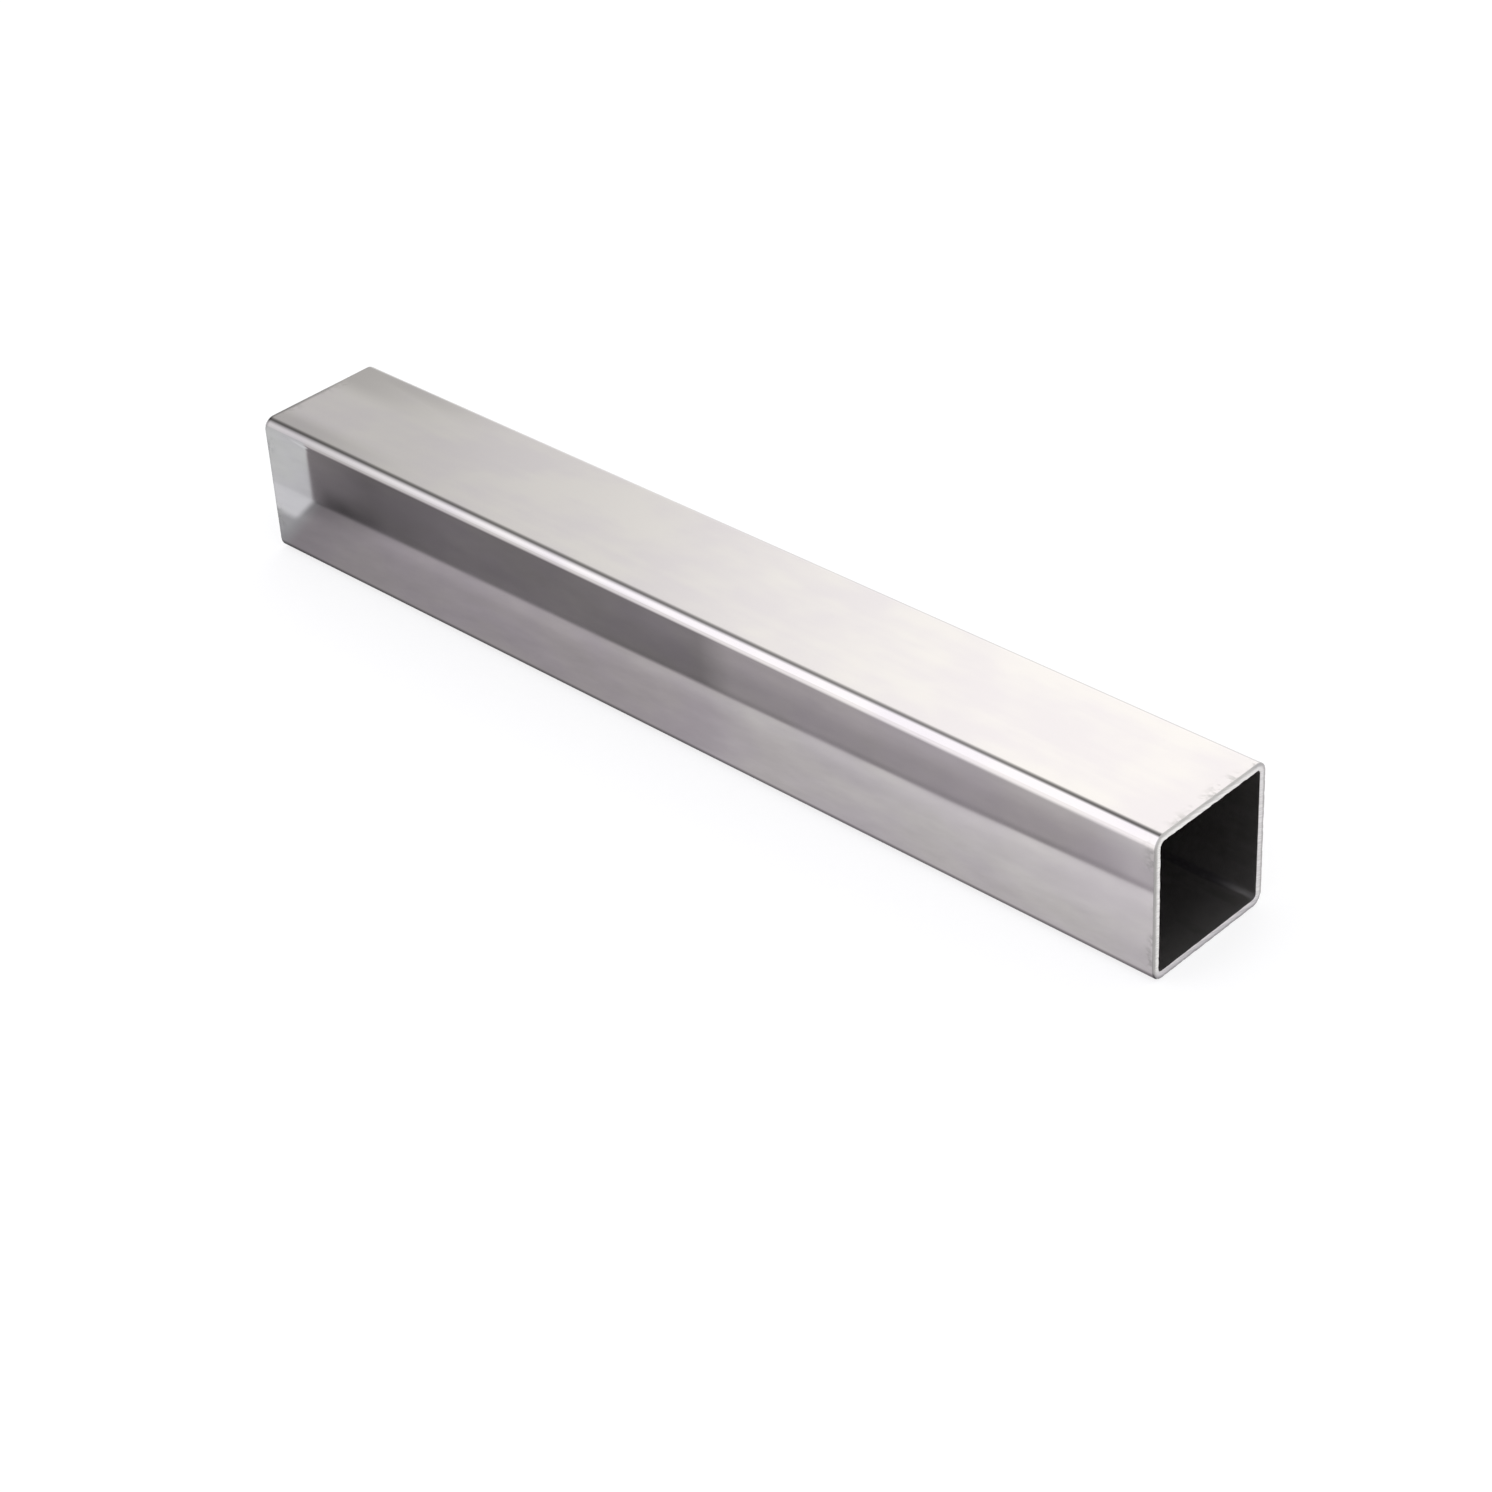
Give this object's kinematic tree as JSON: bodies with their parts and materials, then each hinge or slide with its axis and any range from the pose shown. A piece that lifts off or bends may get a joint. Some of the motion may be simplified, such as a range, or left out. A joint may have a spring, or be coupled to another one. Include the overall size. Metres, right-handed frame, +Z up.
{
  "type": "square metal tube",
  "caption": "Straight length of welded stainless square tube with rolled corners, open and cut square at both ends.",
  "frame": {"origin": "middle of the face the tube lies on: the centre of its length and width, at the level of the bottom face", "axes": "+X along the tube towards the end that faces the viewer in the picture, +Z up, -Y out of the side that faces the viewer"},
  "size_m": [0.3, 0.04, 0.04],
  "materials": {
    "stainless_steel": "satin, long-grained"
  },
  "bodies": {
    "root": {"square_tube": "stainless_steel"}
  },
  "joints": []
}
